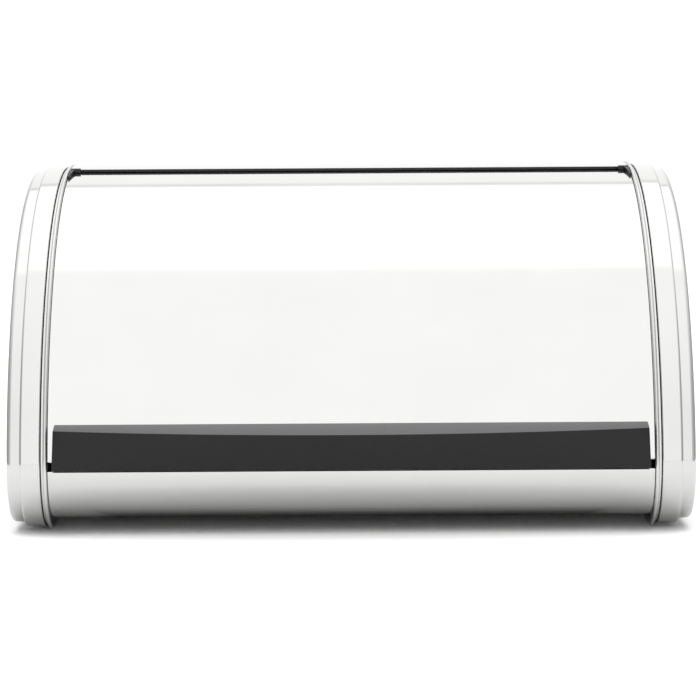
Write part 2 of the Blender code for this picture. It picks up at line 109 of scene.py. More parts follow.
# The lid, closed, and its handle strip.
LID_RADIUS = 183.7
LID_INNER = LID_RADIUS - SHEET - GAP
LID_OUTER = LID_RADIUS + GAP
LID_FRONT = 7.6
LID_REAR = 84.5
LID_HEM = 6.0
HUB_RADIUS = 8.8
HANDLE_TOP = 14.27
HANDLE_LIP = (-187.0, -184.5)
HANDLE_BOTTOM = 20.0
HANDLE_PROUD_END = 9.0
HANDLE_BOW = 7.5
HANDLE_SLOPE = math.tan(math.radians(16.6))

# Fastenings, and the vents in the back.
PIN_RADIUS = 4.0
PIN_END = 171.3
SCREW_ANGLE = 11.0
SCREWS_X = (-135.0, -45.0, 45.0, 135.0)
RIVETS_X = (-120.0, 0.0, 120.0)
RIVET_U = 2.0
RIVET_HOLE = 1.8
VENTS = 8
VENT_PITCH = 14.0
VENT_U = 84.0
VENT_RADIUS = 2.5
DRILL_LENGTH = 8.0


# ---------------------------------------------------------------- places and selections

def at(x, a, u):
    """A place in metres, from millimetres across, back and up from the pivot."""
    return PIVOT + Vector((x, a, u)) * MM


def polar(radius, degrees, centre=(0.0, 0.0)):
    """A point of the side plane, at a distance and an angle from a centre."""
    angle = math.radians(degrees)
    return (centre[0] - radius * math.cos(angle), centre[1] + radius * math.sin(angle))


def side_plane(place):
    """Millimetres back and up from the pivot of a place in metres."""
    offset = (place - PIVOT) / MM
    return offset.y, offset.z


def clear_selection():
    if bpy.context.object and bpy.context.object.mode != "OBJECT":
        bpy.ops.object.mode_set(mode="OBJECT")
    bpy.ops.object.select_all(action="DESELECT")


def take(piece):
    """Make one piece the only one selected, and the active one."""
    clear_selection()
    piece.select_set(True)
    bpy.context.view_layer.objects.active = piece


def edit(piece):
    take(piece)
    bpy.ops.object.mode_set(mode="EDIT")


def name_new(name):
    """Name the primitive just added, and put its place into its mesh."""
    piece = bpy.context.object
    piece.name = piece.data.name = name
    bpy.ops.object.transform_apply(location=True, rotation=True, scale=True)
    return piece


def choose(kind, test):
    """In edit mode, select only the points, edges or faces that pass a test."""
    bpy.ops.mesh.select_mode(type=kind)
    bpy.ops.mesh.select_all(action="DESELECT")
    shape = bmesh.from_edit_mesh(bpy.context.object.data)
    for part in {"VERT": shape.verts, "EDGE": shape.edges, "FACE": shape.faces}[kind]:
        if test(part):
            part.select_set(True)
    bmesh.update_edit_mesh(bpy.context.object.data)


def move(x, a, u):
    bpy.ops.transform.translate(value=(x * MM, a * MM, u * MM))


def pull(x, a, u):
    bpy.ops.mesh.extrude_region_move(TRANSFORM_OT_translate={"value": (x * MM, a * MM, u * MM)})


# ---------------------------------------------------------------- ways of shaping

def weld(distance=WELD):
    """Select the whole shape being edited and join the points that coincide."""
    bpy.ops.mesh.select_all(action="SELECT")
    bpy.ops.mesh.remove_doubles(threshold=distance * MM)


def start_point(name, place):
    """A new piece that is a single selected point, in edit mode."""
    clear_selection()
    bpy.ops.mesh.primitive_plane_add(size=MM, location=place)
    piece = name_new(name)
    bpy.ops.object.mode_set(mode="EDIT")
    bpy.ops.mesh.select_mode(type="VERT")
    bpy.ops.mesh.select_all(action="SELECT")
    bpy.ops.mesh.merge(type="CENTER")
    return piece


def draw(name, x, start, runs):
    """Draw a wire in the side plane: straight runs to a point, and turns round a centre."""
    wire = start_point(name, at(x, *start))
    here = Vector(start)
    for run in runs:
        if len(run) == 2:
            way = Vector(run) - here
            ends = min(1.0, way.length / 4)
            for length in (ends, way.length - 2 * ends, ends):
                step = way.normalized() * length
                bpy.ops.mesh.extrude_vertices_move(
                    TRANSFORM_OT_translate={"value": (0, step.x * MM, step.y * MM)})
            here = Vector(run)
        else:
            centre, degrees, steps = run
            bpy.ops.mesh.spin(steps=steps, angle=math.radians(degrees),
                              center=at(x, *centre), axis=(1, 0, 0))
            arm = here - Vector(centre)
            arm.rotate(Matrix.Rotation(-math.radians(degrees), 2))
            here = Vector(centre) + arm
    return wire


def close_wire():
    """Join a drawn wire's ends and fill it with one face."""
    weld(WIDE_WELD)
    bpy.ops.mesh.edge_face_add()


def outline_runs(inset):
    """Start and runs of the bin's closed side outline, moved inwards."""
    start = (REAR_BOTTOM[0], BASE + inset)
    return start, [
        (REAR_BOTTOM, -90, 16),
        (BACK - inset, REAR_TOP[1]),
        (REAR_TOP, REAR_TANGENT - 180, 14),
        ((0, 0), FRONT_TANGENT - REAR_TANGENT, 90),
        (FRONT_CORNER, -90 - FRONT_TANGENT, 30),
        start,
    ]


def face_outwards():
    """Turn an open sheet so that its faces look away from the pivot."""
    shape = bmesh.from_edit_mesh(bpy.context.object.data)
    far = max(shape.faces, key=lambda face: (face.calc_center_median() - PIVOT).length)
    inwards = far.normal.dot(far.calc_center_median() - PIVOT) < 0
    bpy.ops.mesh.select_all(action="SELECT")
    if inwards:
        bpy.ops.mesh.flip_normals()


def modify(piece, kind, **settings):
    """Add a modifier and apply it."""
    take(piece)
    modifier = piece.modifiers.new(kind.title(), kind)
    for name, value in settings.items():
        setattr(modifier, name, value)
    bpy.ops.object.modifier_apply(modifier=modifier.name)


def thicken(piece, thickness=SHEET):
    modify(piece, "SOLIDIFY", thickness=thickness * MM, offset=-1, use_even_offset=True)


def soften(piece, width, segments=3, degrees=40):
    """Round the sharp edges."""
    modify(piece, "BEVEL", width=width * MM, segments=segments, limit_method="ANGLE",
           angle_limit=math.radians(degrees), harden_normals=False)


def cut(piece, tool, operation="DIFFERENCE"):
    """Cut a tool out of a piece, or join the two, and discard the tool."""
    modify(piece, "BOOLEAN", object=tool, operation=operation, solver="EXACT")
    bpy.data.objects.remove(tool, do_unlink=True)


def drill(radius, length, places, rotation):
    """One cutting tool of equal round bars, one at each place."""
    clear_selection()
    rods = []
    for place in places:
        bpy.ops.mesh.primitive_cylinder_add(vertices=32, radius=radius * MM, depth=length * MM,
                                            location=place, rotation=rotation)
        rods.append(bpy.context.object)
    for rod in rods:
        rod.select_set(True)
    if len(rods) > 1:
        bpy.ops.object.join()
    return name_new("drill")


def bend_sheet(name, half_width, start, runs):
    """Bent sheet metal: a wire in the side plane pulled across, then given its thickness."""
    piece = draw(name, -half_width, start, runs)
    bpy.ops.mesh.select_all(action="SELECT")
    pull(2 * half_width, 0, 0)
    weld()
    face_outwards()
    bpy.ops.object.mode_set(mode="OBJECT")
    thicken(piece)
    return piece


def bar(name, low, high, start, runs):
    """A solid of one section, drawn in the side plane, between two distances across."""
    piece = draw(name, low, start, runs)
    close_wire()
    pull(high - low, 0, 0)
    tidy_solid()
    return piece


def tidy_solid():
    """Weld the shape that is being edited and turn its faces outwards."""
    weld()
    bpy.ops.mesh.normals_make_consistent(inside=False)
    bpy.ops.object.mode_set(mode="OBJECT")


def turn(name, foot, axis, profile, steps=48):
    """A turned piece: (radius, height) points drawn beside an axis and spun round it."""
    axis = Vector(axis).normalized()
    side = axis.orthogonal().normalized()
    places = [foot + (side * radius + axis * height) * MM for radius, height in profile]
    piece = start_point(name, places[0])
    for before, after in zip(places, places[1:]):
        bpy.ops.mesh.extrude_vertices_move(TRANSFORM_OT_translate={"value": after - before})
    bpy.ops.mesh.select_all(action="SELECT")
    bpy.ops.mesh.spin(steps=steps, angle=2 * math.pi, center=foot, axis=axis)
    tidy_solid()
    return piece


def press(rows):
    """Press the selected face in steps, each a distance inwards and a distance out."""
    for inwards, out in rows:
        bpy.ops.mesh.inset(thickness=inwards * MM, depth=out * MM)


def round_over(radius, steps=4, under=False):
    """Rows that turn from a wall over an edge on to a face, or under, from face to wall."""
    rows = []
    for step in range(steps):
        low = math.radians(90 * step / steps)
        high = math.radians(90 * (step + 1) / steps)
        turned = (radius * (math.cos(low) - math.cos(high)),
                  radius * (math.sin(high) - math.sin(low)))
        rows.append(turned[::-1] if under else turned)
    return rows


def band(width, taper):
    """Rows along a straight band, kept straight right up to its edges."""
    slope = taper / width
    return [(slope * length, length)
            for length in (EDGE_ROW, width - 2 * EDGE_ROW, EDGE_ROW)]


def duplicate(piece, name):
    """The same piece with a mesh of its own, all of it selected in edit mode."""
    take(piece)
    bpy.ops.object.duplicate()
    copy = bpy.context.object
    copy.name = copy.data.name = name
    bpy.ops.object.mode_set(mode="EDIT")
    bpy.ops.mesh.select_all(action="SELECT")
    return copy


def copy_across(piece, name):
    """The same piece on the other side of the bin."""
    copy = duplicate(piece, name)
    bpy.ops.transform.resize(value=(-1, 1, 1), center_override=(0, 0, 0))
    bpy.ops.mesh.flip_normals()
    bpy.ops.object.mode_set(mode="OBJECT")
    return copy


def copy_along(piece, name, x):
    """The same piece again, a distance further right."""
    copy = duplicate(piece, name)
    move(x, 0, 0)
    bpy.ops.object.mode_set(mode="OBJECT")
    return copy


def fit(piece, body, slot, material, *nodes, smooth=35):
    """Smooth a finished piece, give it its finish and put it in place of its CAD nodes."""
    take(piece)
    bpy.ops.object.shade_smooth_by_angle(angle=math.radians(smooth))
    piece.data.materials.clear()
    piece.data.materials.append(material)
    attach(piece, body)
    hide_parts(*nodes)


def fit_pair(piece, body, slot, material, node, smooth=35):
    """Fit a piece on the right, and its copy on the left."""
    left = copy_across(piece, piece.name.replace("_right", "_left"))
    fit(piece, body, slot, material, node + "_right", smooth=smooth)
    fit(left, body, slot, material, node + "_left", smooth=smooth)


def fit_row(piece, places_x, body, slot, material, node):
    """Fit a row of equal parts: the first as made, named ..._1, and copies further right."""
    for index, x in enumerate(places_x):
        number = "_%d" % (index + 1)
        name = piece.name.replace("_1", number)
        part = copy_along(piece, name, x - places_x[0]) if index else piece
        fit(part, body, slot, material, node + number)


# ---------------------------------------------------------------- materials

def linear(text):
    """A linear colour from an sRGB hex colour."""
    values = [int(text[index:index + 2], 16) / 255 for index in (1, 3, 5)]
    return (*(value / 12.92 if value <= 0.04045 else ((value + 0.055) / 1.055) ** 2.4
              for value in values), 1.0)


def add(tree, kind, links=None, **settings):
    """Add a node with its settings, and its inputs as values or as links."""
    node = tree.nodes.new("ShaderNode" + kind)
    for name, value in settings.items():
        setattr(node, name, value)
    for name, value in (links or {}).items():
        socket = node.inputs[name]
        if isinstance(value, bpy.types.NodeSocket):
            tree.links.new(value, socket)
        else:
            socket.default_value = value
    return node


def new_material(name, **shader_values):
    """A material with its node tree, its shader and the place on the piece."""
    material = bpy.data.materials.new(name)
    material.use_nodes = True
    tree = material.node_tree
    shader = tree.nodes["Principled BSDF"]
    for socket, value in shader_values.items():
        shader.inputs[socket.replace("_", " ")].default_value = value
    place = add(tree, "TexCoord").outputs["Object"]
    return material, tree, shader, place


def grain(tree, place, size, detail=2.0, roughness=0.5):
    """Noise with grains of a size in millimetres, or of a size along each axis."""
    sizes = size if isinstance(size, tuple) else (size, size, size)
    scaled = add(tree, "Mapping", {"Vector": place, "Scale": [1 / (MM * s) for s in sizes]})
    noise = add(tree, "TexNoise", {"Vector": scaled.outputs["Vector"], "Scale": 1.0,
                                   "Detail": detail, "Roughness": roughness})
    return noise.outputs["Fac"]


def spread(tree, value, low, high, start=0.3, end=0.7):
    """Map a pattern's usual range on to a range of values."""
    return add(tree, "MapRange", {"Value": value, "From Min": start, "From Max": end,
                                  "To Min": low, "To Max": high}).outputs["Result"]


def between(tree, value, dark, light):
    """A colour between two, by a pattern."""
    mix = add(tree, "Mix", {"Factor": value}, data_type="RGBA")
    mix.inputs["A"].default_value = linear(dark)
    mix.inputs["B"].default_value = linear(light)
    return mix.outputs["Result"]


def bump(tree, height, distance, strength=1.0, normal=None):
    links = {"Height": height, "Distance": distance * MM, "Strength": strength}
    if normal:
        links["Normal"] = normal
    return add(tree, "Bump", links).outputs["Normal"]


def stainless(name, gloss, dull):
    """Stainless sheet: faint lengthwise lines from the rolls, and a haze of thinner buffing
    that wanders between two roughnesses."""
    material, tree, shader, place = new_material(name, Metallic=1.0)
    lines = grain(tree, place, (60.0, 0.35, 0.35), detail=3.0)
    haze = grain(tree, place, (55.0, 40.0, 40.0), detail=4.0, roughness=0.6)
    rough = add(tree, "Math", {0: spread(tree, lines, 0.0, 0.03),
                               1: spread(tree, haze, gloss, dull)}, operation="ADD")
    tree.links.new(between(tree, haze, "#DADAD9", "#E1E1E0"), shader.inputs["Base Color"])
    tree.links.new(rough.outputs[0], shader.inputs["Roughness"])
    tree.links.new(bump(tree, lines, 0.0004), shader.inputs["Normal"])
    return material


def inner_steel():
    """Zinc-coated sheet, as dipped: small spangles of slightly different grey and gloss."""
    material, tree, shader, place = new_material("spangled_zinc_sheet", Metallic=1.0)
    scaled = add(tree, "Mapping", {"Vector": place, "Scale": [1 / (MM * 5.0)] * 3})
    spangle = add(tree, "TexVoronoi", {"Vector": scaled.outputs["Vector"], "Scale": 1.0})
    tone = add(tree, "SeparateColor", {"Color": spangle.outputs["Color"]}).outputs["Red"]
    tree.links.new(between(tree, tone, "#B3B6B9", "#C9CCCE"), shader.inputs["Base Color"])
    tree.links.new(spread(tree, tone, 0.26, 0.42, 0.0, 1.0), shader.inputs["Roughness"])
    tree.links.new(bump(tree, grain(tree, place, 1.2), 0.006), shader.inputs["Normal"])
    return material


def plated_steel():
    """Bright zinc-plated steel fastenings, turned and headed, with fine rings of plating."""
    material, tree, shader, place = new_material("bright_zinc_plate", Metallic=1.0)
    cloud = grain(tree, place, 1.6, detail=3.0)
    tree.links.new(between(tree, cloud, "#B9BDC1", "#D2D5D8"), shader.inputs["Base Color"])
    tree.links.new(spread(tree, cloud, 0.18, 0.32), shader.inputs["Roughness"])
    tree.links.new(bump(tree, grain(tree, place, 0.25), 0.004), shader.inputs["Normal"])
    return material


def handle_plastic():
    """Black ABS from a spark-eroded mould: an even fine grain that scatters the gloss. A painted
    highlight: the up-facing ledge on top is given a lighter grey base colour, as if lit."""
    material, tree, shader, place = new_material("black_abs_spark_grain", IOR=1.38)
    fine = grain(tree, place, 0.35, detail=3.0, roughness=0.6)
    cloud = grain(tree, place, 30.0, detail=2.0)
    # Painted highlight: faces that look upwards (the ledge on top) get a lighter grey base
    # colour.
    facing = add(tree, "TexCoord").outputs["Normal"]
    painted_highlight_mask = add(tree, "SeparateXYZ", {"Vector": facing}).outputs["Z"]
    tone = add(tree, "Mix", {"Factor": spread(tree, painted_highlight_mask, 0.0, 1.0, 0.6, 0.9)},
               data_type="RGBA")
    tree.links.new(between(tree, cloud, "#101011", "#141415"), tone.inputs["A"])
    # The lighter grey of the painted highlight on the ledge.
    tree.links.new(between(tree, cloud, "#4A4A4C", "#525254"), tone.inputs["B"])
    tree.links.new(tone.outputs["Result"], shader.inputs["Base Color"])
    tree.links.new(spread(tree, fine, 0.26, 0.34), shader.inputs["Roughness"])
    tree.links.new(bump(tree, fine, 0.006), shader.inputs["Normal"])
    return material


def edging_plastic():
    """Black soft PVC, extruded: smooth, with faint lines along its length."""
    material, tree, shader, place = new_material("black_pvc_extrusion", IOR=1.53)
    lines = grain(tree, place, (40.0, 0.3, 0.3), detail=2.0)
    tree.links.new(between(tree, lines, "#0C0C0D", "#121213"), shader.inputs["Base Color"])
    tree.links.new(spread(tree, lines, 0.34, 0.46), shader.inputs["Roughness"])
    tree.links.new(bump(tree, lines, 0.006), shader.inputs["Normal"])
    return material


def grey_plastic():
    """Dark grey polypropylene, moulded: satin, with soft cloudy flow and a fine texture."""
    material, tree, shader, place = new_material("dark_grey_polypropylene", IOR=1.49)
    flow = grain(tree, place, 45.0, detail=3.0)
    fine = grain(tree, place, 0.5, detail=2.0)
    tree.links.new(between(tree, flow, "#505255", "#5B5D60"), shader.inputs["Base Color"])
    tree.links.new(spread(tree, fine, 0.42, 0.54), shader.inputs["Roughness"])
    tree.links.new(bump(tree, fine, 0.01), shader.inputs["Normal"])
    return material


def natural_nylon():
    """Undyed nylon, turned: creamy white, with faint tool rings and a low sheen."""
    material, tree, shader, place = new_material("natural_nylon", IOR=1.53)
    cloud = grain(tree, place, 3.0)
    tree.links.new(between(tree, cloud, "#DDD9CB", "#E8E5D9"), shader.inputs["Base Color"])
    tree.links.new(spread(tree, cloud, 0.4, 0.52), shader.inputs["Roughness"])
    tree.links.new(bump(tree, grain(tree, place, (0.2, 4.0, 4.0)), 0.006),
                   shader.inputs["Normal"])
    return material


def black_rubber():
    """Black moulded rubber: dull, finely pitted, and a little greyer where it is dusty."""
    material, tree, shader, place = new_material("black_rubber", IOR=1.52)
    dust = grain(tree, place, 6.0, detail=4.0, roughness=0.6)
    pits = grain(tree, place, 0.4)
    tree.links.new(between(tree, spread(tree, dust, 0.0, 1.0), "#1A1A1A", "#2B2A29"),
                   shader.inputs["Base Color"])
    tree.links.new(spread(tree, dust, 0.68, 0.85), shader.inputs["Roughness"])
    tree.links.new(bump(tree, pits, 0.02), shader.inputs["Normal"])
    return material


# Buffed sheet is a mirror with hardly any waviness; the rolled seam has lost its polish.
STEEL = stainless("mirror_polished_stainless", 0.05, 0.085)
SEAM_STEEL = stainless("rolled_seam_stainless", 0.24, 0.32)
ZINC_SHEET = inner_steel()
ZINC_PLATE = plated_steel()
BLACK_ABS = handle_plastic()
BLACK_PVC = edging_plastic()
GREY_PP = grey_plastic()
NYLON = natural_nylon()
RUBBER = black_rubber()


# ---------------------------------------------------------------- fixed body

def drill_back(piece, radius, places_x, u):
    """A row of holes from front to back through the bin's back."""
    places = [at(x, BACK, u) for x in places_x]
    cut(piece, drill(radius, DRILL_LENGTH, places, (math.pi / 2, 0, 0)))


def make_rear_shell():
    """One bent sheet: a flange under the bin, the back, and the top as far as the lid."""
    low = BASE + SHELL_INSET
    flange_end = 109.0
    shell = bend_sheet("shell_sheet", SHELL, (flange_end, low), [
        (REAR_BOTTOM[0], low),
        (REAR_BOTTOM, -90, 16),
        (BACK - SHELL_INSET, REAR_TOP[1]),
        (REAR_TOP, REAR_TANGENT - 180, 14),
        ((0, 0), SHELL_EDGE - REAR_TANGENT, 38),
    ])
    middle = (VENTS - 1) / 2
    drill_back(shell, VENT_RADIUS, [(index - middle) * VENT_PITCH for index in range(VENTS)],
               VENT_U)
    drill_back(shell, RIVET_HOLE, RIVETS_X, RIVET_U)
    fit(shell, "bin", "polished_steel", STEEL, "rear_shell")


def make_base_tray():
    """The lower front panel, the raised floor, and an upstand inside the back."""
    lip, hem = -172.5, 5.5
    fold = 0.7
    bend, upstand = 8.0, 8.0
    level = PANEL_TOP - fold
    turn_end = math.degrees(math.asin((level - PANEL_CORNER[1]) / (PANEL_RADIUS - fold)))
    front_fold = polar(PANEL_RADIUS - fold, turn_end, PANEL_CORNER)
    rear = BACK - SHELL_INSET - SHEET - 0.4
    tray = bend_sheet("tray_sheet", SHELL, (lip, PANEL_TOP - hem), [
        (lip, level),
        ((lip - fold, level), -90, 6),
        (front_fold[0], PANEL_TOP),
        (front_fold, turn_end - 90, 8),
        (PANEL_CORNER, -90 - turn_end, 34),
        (rear - bend, FLOOR),
        ((rear - bend, FLOOR + bend), -90, 10),
        (rear, upstand),
    ])
    drill_back(tray, RIVET_HOLE, RIVETS_X, RIVET_U)
    fit(tray, "bin", "polished_steel", STEEL, "base_tray")


def make_end_caps():
    """Pressed ends: a wide ring, a lower, rounder ring, and a dished, faintly domed face."""
    lip, blank, flange = 0.8, 0.2, 6.0
    ring_taper, ring_edge = 0.3, 1.0
    step_root = 0.4
    outer_taper, outer_edge = 0.2, 2.6
    cap = draw("end_pressing_right", CAP_INNER + lip, *outline_runs(RING_INSET))
    close_wire()
    pull(blank, 0, 0)
    tidy_solid()
    edit(cap)
    choose("FACE", lambda face: face.normal.x > 0.9)
    press(band(CAP_STEP - CAP_INNER - lip - blank - ring_edge, ring_taper)
          + round_over(ring_edge))
    press([(STEP_INSET - RING_INSET - ring_taper - ring_edge - step_root, 0)])
    press(round_over(step_root, under=True))
    press(band(CAP_OUTER - CAP_STEP - step_root - outer_edge, outer_taper)
          + round_over(outer_edge, 8))
    press([(EDGE_ROW, 0), (2.1, 0), (EDGE_ROW, 0)])
    press([(0.3, -0.08), (1.6, -1.3), (0.3, -0.08), (EDGE_ROW, 0)])
    dome = at(0, -10.0, 70.0)
    dome_rise = 1.3
    before = 1.0
    for size in (0.93, 0.84, 0.72, 0.58, 0.42, 0.25, 0.1):
        pull(dome_rise * (before ** 2 - size ** 2), 0, 0)
        ratio = size / before
        bpy.ops.transform.resize(value=(1, ratio, ratio), center_override=dome)
        before = size
    choose("FACE", lambda face: face.normal.x < -0.9)
    press(round_over(lip))
    press([(EDGE_ROW, 0), (flange, 0)])
    bpy.ops.mesh.delete(type="FACE")
    bpy.ops.object.mode_set(mode="OBJECT")
    thicken(cap)
    fit_pair(cap, "bin", "polished_steel", STEEL, "end_cap")


def make_rim_beads():
    """The rolled seams: a round bead along each side's outline, and the lap beside it."""
    lap = draw("seam_lap", LAP[0], *outline_runs(LAP_INSET))
    weld(WIDE_WELD)
    pull(LAP[1] - LAP[0], 0, 0)
    face_outwards()
    bpy.ops.object.mode_set(mode="OBJECT")
    thicken(lap, LAP_SHEET)
    bead = draw("seam_bead_right", BEAD, *outline_runs(BEAD_RADIUS))
    weld(WIDE_WELD)
    take(bead)
    bpy.ops.object.convert(target="CURVE")
    bead = bpy.context.object
    bead.data.bevel_depth = BEAD_RADIUS * MM
    bead.data.bevel_resolution = 4
    bpy.ops.object.convert(target="MESH")
    bead = bpy.context.object
    lap.select_set(True)
    bpy.ops.object.join()
    edit(bead)
    tidy_solid()
    fit_pair(bead, "bin", "polished_steel", SEAM_STEEL, "rim_bead", smooth=60)


def edging_runs(front, top):
    """Start and runs of the edging's section, whose leg tucks under the shell."""
    under = ROOF - SHELL_INSET - SHEET - GAP
    step = SHELL_EDGE - 0.1
    start = polar(LID_OUTER, front)
    return start, [
        ((0, 0), SEAL_REAR - front, 4),
        polar(under, SEAL_REAR),
        ((0, 0), step - SEAL_REAR, 4),
        polar(top, step),
        polar(top, front),
        start,
    ]


def make_edge_seal():
    """The black edging: a leg under the shell and a face in front of the shell's edge."""
    seal = bar("edging_strip", -SEAL, SEAL, *edging_runs(SEAL_FRONT, ROOF - 0.5))
    soften(seal, 0.25)
    fit(seal, "bin", "black_plastic", BLACK_PVC, "edge_seal")


def make_seal_ends():
    """The edging's end pieces, each with a tail that narrows beside the rolled seam."""
    end = bar("edging_end_right", SEAL + GAP, SHELL,
              *edging_runs(SEAL_END_FRONT, ROOF + 0.2))
    root, middle, tip = 80.8, 78.2, 75.6
    thin = 0.6
    tail = bar("edging_tail", SHELL - thin, SHELL, polar(LID_OUTER, root), [
        ((0, 0), middle - root, 2),
        ((0, 0), tip - middle, 2),
        polar(ROOF - 0.6, tip),
        polar(ROOF - 0.2, middle),
        polar(ROOF, root),
        polar(LID_OUTER, root),
    ])
    edit(tail)
    for angle, reach in ((root, 2.4), (79.5, 1.7), (middle, 1.0), (76.9, 0.5)):
        choose("VERT", lambda point: abs(angle_of(point.co) - angle) < 0.6
               and point.co.x < (SHELL - thin / 2) * MM)
        move(-reach, 0, 0)
    tidy_solid()
    cut(end, tail, "UNION")
    soften(end, 0.25)
    fit_pair(end, "bin", "black_plastic", BLACK_PVC, "seal_end")


def angle_of(place):
    """The angle about the pivot of a place in metres."""
    a, u = side_plane(place)
    return math.degrees(math.atan2(u, -a))


# ---------------------------------------------------------------- rolling lid

def make_lid_sheet():
    """The curved lid, folded inwards along its front and rear edges."""
    fold = 1.2
    lean = math.degrees(math.asin(fold / (LID_RADIUS - fold)))
    reach = (LID_RADIUS - fold) * math.cos(math.radians(lean))
    arc = LID_REAR - LID_FRONT - 2 * lean
    lid = bend_sheet("curved_lid", LID, polar(LID_RADIUS - LID_HEM, LID_FRONT), [
        polar(reach, LID_FRONT),
        (polar(LID_RADIUS - fold, LID_FRONT + lean), 90 + lean, 8),
        ((0, 0), arc, 64),
        (polar(LID_RADIUS - fold, LID_REAR - lean), 90 + lean, 8),
        polar(LID_RADIUS - LID_HEM, LID_REAR),
    ])
    fit(lid, "lid", "polished_steel", STEEL, "lid_sheet")


def make_lid_arms():
    """The lid's side plates: a sector with a raised rim, ribs and a boss at the pivot."""
    rim = LID_INNER
    clearance = 0.7
    low_edge = LID_FRONT + clearance
    high_edge = LID_REAR - clearance
    rib_middle, rib_size = 98.0, (2.0 * MM, 166.0 * MM, 1.6 * MM)
    arm = draw("lid_side_plate_right", ARM[0], polar(rim, low_edge), [
        ((0, 0), high_edge - low_edge, 60),
        polar(HUB_RADIUS, high_edge + 90),
        ((0, 0), low_edge - high_edge + 180, 16),
        polar(rim, low_edge),
    ])
    close_wire()
    pull(ARM[1] - ARM[0], 0, 0)
    tidy_solid()
    edit(arm)
    choose("FACE", lambda face: face.normal.x < -0.9)
    press([(3.0, 0), (0.5, -0.9)])
    bpy.ops.object.mode_set(mode="OBJECT")
    for angle in (22.0, 34.0, 46.0, 58.0, 70.0):
        clear_selection()
        bpy.ops.mesh.primitive_cube_add(size=1, rotation=(-math.radians(angle), 0, 0),
                                        location=at(ARM[0] + 1.2, *polar(rib_middle, angle)),
                                        scale=rib_size)
        cut(arm, name_new("rib"), "UNION")
    boss_radius, boss_low, boss_high = 8.2, ARM[0] + 0.2, ARM[1] - 0.4
    boss = turn("boss", at(0, 0, 0), (1, 0, 0), [(0, boss_low), (boss_radius, boss_low),
                                                 (boss_radius, boss_high), (0, boss_high)])
    cut(arm, boss, "UNION")
    soften(arm, 0.3, 2)
    middle = (ARM[0] + ARM[1]) / 2
    cut(arm, drill(PIN_RADIUS + 0.2, 12.0, [at(middle, 0, 0)], (0, math.pi / 2, 0)))
    fit_pair(arm, "lid", "grey_plastic", GREY_PP, "lid_arm")


def make_lid_handle():
    """The moulded strip along the lid's front edge, its ledge bowed forward in the middle."""
    top_a, top_u = polar(LID_OUTER, HANDLE_TOP)
    bottom_a, bottom_u = polar(LID_OUTER, LID_FRONT + 0.2)
    ledge = (top_a - HANDLE_PROUD_END, top_u - HANDLE_PROUD_END * HANDLE_SLOPE)
    lip_front, lip_back = HANDLE_LIP
    reach = 166.0
    # Each corner of the section: how far it reaches at the ends, and where it is in between.
    corners = [
        (165.8, (bottom_a, bottom_u)),
        (165.8, (lip_back + 0.1, bottom_u)),
        (reach, (lip_back, HANDLE_BOTTOM)),
        (reach, (lip_front, HANDLE_BOTTOM)),
        (164.9, ledge),
        (164.9, (top_a, top_u)),
        (165.3, polar(LID_OUTER, SCREW_ANGLE)),
    ]
    stations = 40
    places = [place for _, place in corners]
    handle = start_point("handle_strip", at(-reach, *places[0]))
    for before, after in zip(places, places[1:]):
        bpy.ops.mesh.extrude_vertices_move(TRANSFORM_OT_translate={
            "value": (0, (after[0] - before[0]) * MM, (after[1] - before[1]) * MM)})
    close_wire()
    for _ in range(stations):
        pull(2 * reach / stations, 0, 0)
    for station in range(stations + 1):
        share = 2 * station / stations - 1
        x = share * reach
        for corner_reach, place in corners:
            bow = HANDLE_BOW * (1 - share ** 2) if place == ledge else 0.0
            shift = (share * (corner_reach - reach), -bow, -bow * HANDLE_SLOPE)
            if max(map(abs, shift)) < 0.001:
                continue
            target = at(x, *place)
            choose("VERT", lambda point: (point.co - target).length < 0.05 * MM)
            move(*shift)
    tidy_solid()
    soften(handle, 0.6, 4, 30)
    fit(handle, "lid", "black_plastic", BLACK_ABS, "lid_handle", smooth=50)


# ---------------------------------------------------------------- small parts

def make_fastenings():
    """Blind rivets in the back, screws behind the handle and the lid's pivot pins."""
    head = BACK - SHELL_INSET + GAP
    rivet = turn("rivet_1", at(RIVETS_X[0], 0, RIVET_U), (0, 1, 0), [
        (0, head + 0.1), (0.8, head + 0.1), (0.9, head + 0.7), (1.6, head + 0.68),
        (2.4, head + 0.5), (3.0, head + 0.15), (3.1, head), (1.5, head), (1.5, head - 1.9),
        (2.2, head - 2.2), (2.3, head - 2.9), (1.7, head - 3.6), (0, head - 3.7)])
    fit_row(rivet, RIVETS_X, "bin", "galvanised_steel", ZINC_PLATE, "back_rivet")
    seat = LID_INNER - 2.5
    axis = (0, -math.cos(math.radians(SCREW_ANGLE)), math.sin(math.radians(SCREW_ANGLE)))
    screw = turn("screw_1", at(SCREWS_X[0], 0, 0), axis, [
        (0, LID_RADIUS + 5.4), (0.9, LID_RADIUS + 5.4), (1.5, LID_RADIUS + 4.4), (1.5, seat),
        (2.9, seat), (3.0, seat - 0.2), (2.95, seat - 0.8), (2.5, seat - 1.5),
        (1.6, seat - 1.85), (0, seat - 1.9)], steps=32)
    slot_size = (3.2 * MM, 2.2 * MM, 0.7 * MM)
    clear_selection()
    bpy.ops.mesh.primitive_cube_add(size=1, rotation=(-math.radians(SCREW_ANGLE), 0, 0),
                                    location=at(SCREWS_X[0], *polar(seat - 1.7, SCREW_ANGLE)),
                                    scale=slot_size)
    cut(screw, name_new("slot"))
    fit_row(screw, SCREWS_X, "lid", "galvanised_steel", ZINC_PLATE, "handle_screw")
    start = ARM[0] - GAP
    pin = turn("pin_right", at(0, 0, 0), (1, 0, 0), [
        (0, start - 2.0), (2.2, start - 2.0), (4.4, start - 1.85), (6.0, start - 1.4),
        (6.8, start - 0.8), (7.0, start - 0.3), (7.0, start), (PIN_RADIUS, start),
        (PIN_RADIUS, PIN_END - 0.3), (PIN_RADIUS - 0.3, PIN_END), (0, PIN_END)])
    fit_pair(pin, "bin", "galvanised_steel", ZINC_PLATE, "pivot_pin")


